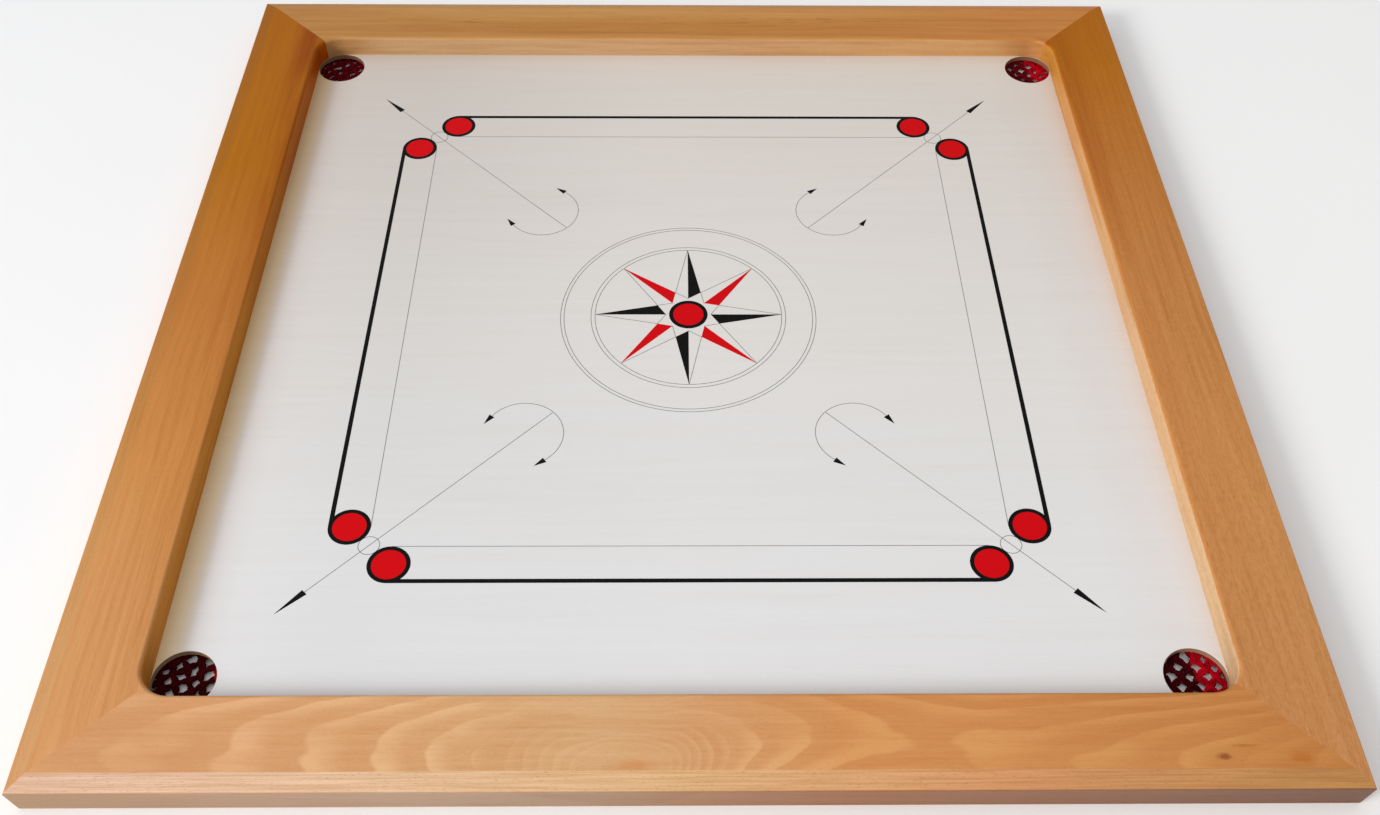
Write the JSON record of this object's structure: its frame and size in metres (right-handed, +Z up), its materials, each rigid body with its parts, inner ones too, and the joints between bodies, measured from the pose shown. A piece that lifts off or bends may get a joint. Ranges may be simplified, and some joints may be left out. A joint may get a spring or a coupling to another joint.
{
  "type": "carrom board",
  "caption": "Square carrom board: mitred beech frame, birch ply playing panel with printed marks, corner pockets and cord nets below them.",
  "frame": {"origin": "centre of the underside of the frame, on the table", "axes": "+Z up out of the playing surface, +Y towards the far rail, +X to the right along the near rail"},
  "size_m": [0.8698, 0.8698, 0.0305],
  "materials": {
    "beech": "satin oiled beech",
    "birch_ply": "smooth lacquered birch plywood",
    "batten_wood": "planed spruce",
    "biscuit_wood": "compressed beech",
    "zinc": "zinc plated",
    "brass_tack": "brass plated",
    "red_cord": "knotted cotton cord",
    "ink_black": "silk-screen ink under lacquer",
    "ink_red": "silk-screen ink under lacquer",
    "ink_grey": "fine silk-screen lines under lacquer"
  },
  "bodies": {
    "root": {"rail_front": "beech", "rail_right": "beech", "rail_back": "beech", "rail_left": "beech", "mitre_biscuit_front_left": "biscuit_wood", "mitre_biscuit_front_right": "biscuit_wood", "mitre_biscuit_back_right": "biscuit_wood", "mitre_biscuit_back_left": "biscuit_wood", "playing_panel": "birch_ply", "panel_screws": "zinc", "batten_long": "batten_wood", "batten_short_front": "batten_wood", "batten_short_back": "batten_wood", "batten_screws": "zinc", "pocket_net_front_left": "red_cord", "pocket_net_front_right": "red_cord", "pocket_net_back_right": "red_cord", "pocket_net_back_left": "red_cord", "net_tacks": "brass_tack", "marks_black": "ink_black", "marks_red": "ink_red", "marks_grey": "ink_grey"}
  },
  "joints": []
}
